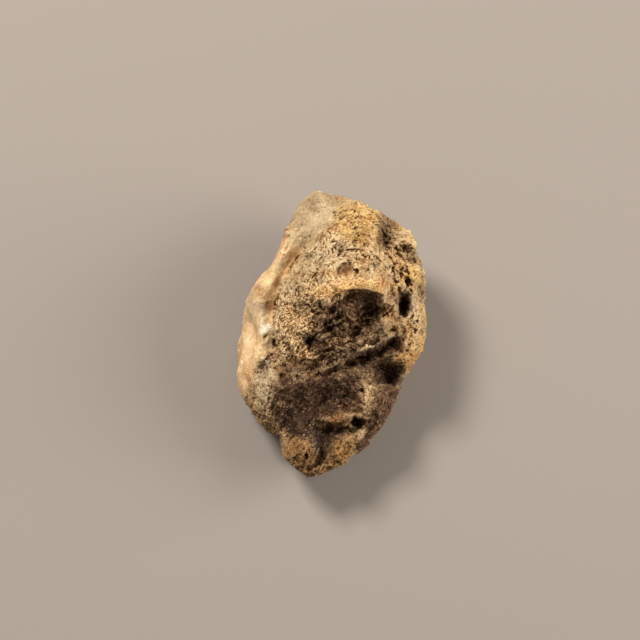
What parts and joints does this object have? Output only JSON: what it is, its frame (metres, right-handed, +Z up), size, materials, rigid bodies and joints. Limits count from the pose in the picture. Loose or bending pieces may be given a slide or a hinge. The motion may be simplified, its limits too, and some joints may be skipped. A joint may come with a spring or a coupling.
{
  "type": "chondrite meteorite fragment",
  "caption": "Rough, pitted fragment of a weathered stony meteorite, tan with rusty and dark brown broken faces, lying on its flat back.",
  "frame": {"origin": "middle of the stone's box, on the plane of its flat rest face", "axes": "+Z up, away from the rest face; +Y along the stone, from its narrow toe to its top hump; +X to the right, towards the slotted band"},
  "size_m": [0.022, 0.0336, 0.0178],
  "materials": {
    "weathered_stone": "matt, rough and finely pitted"
  },
  "bodies": {
    "root": {"meteorite_fragment": "weathered_stone"}
  },
  "joints": []
}
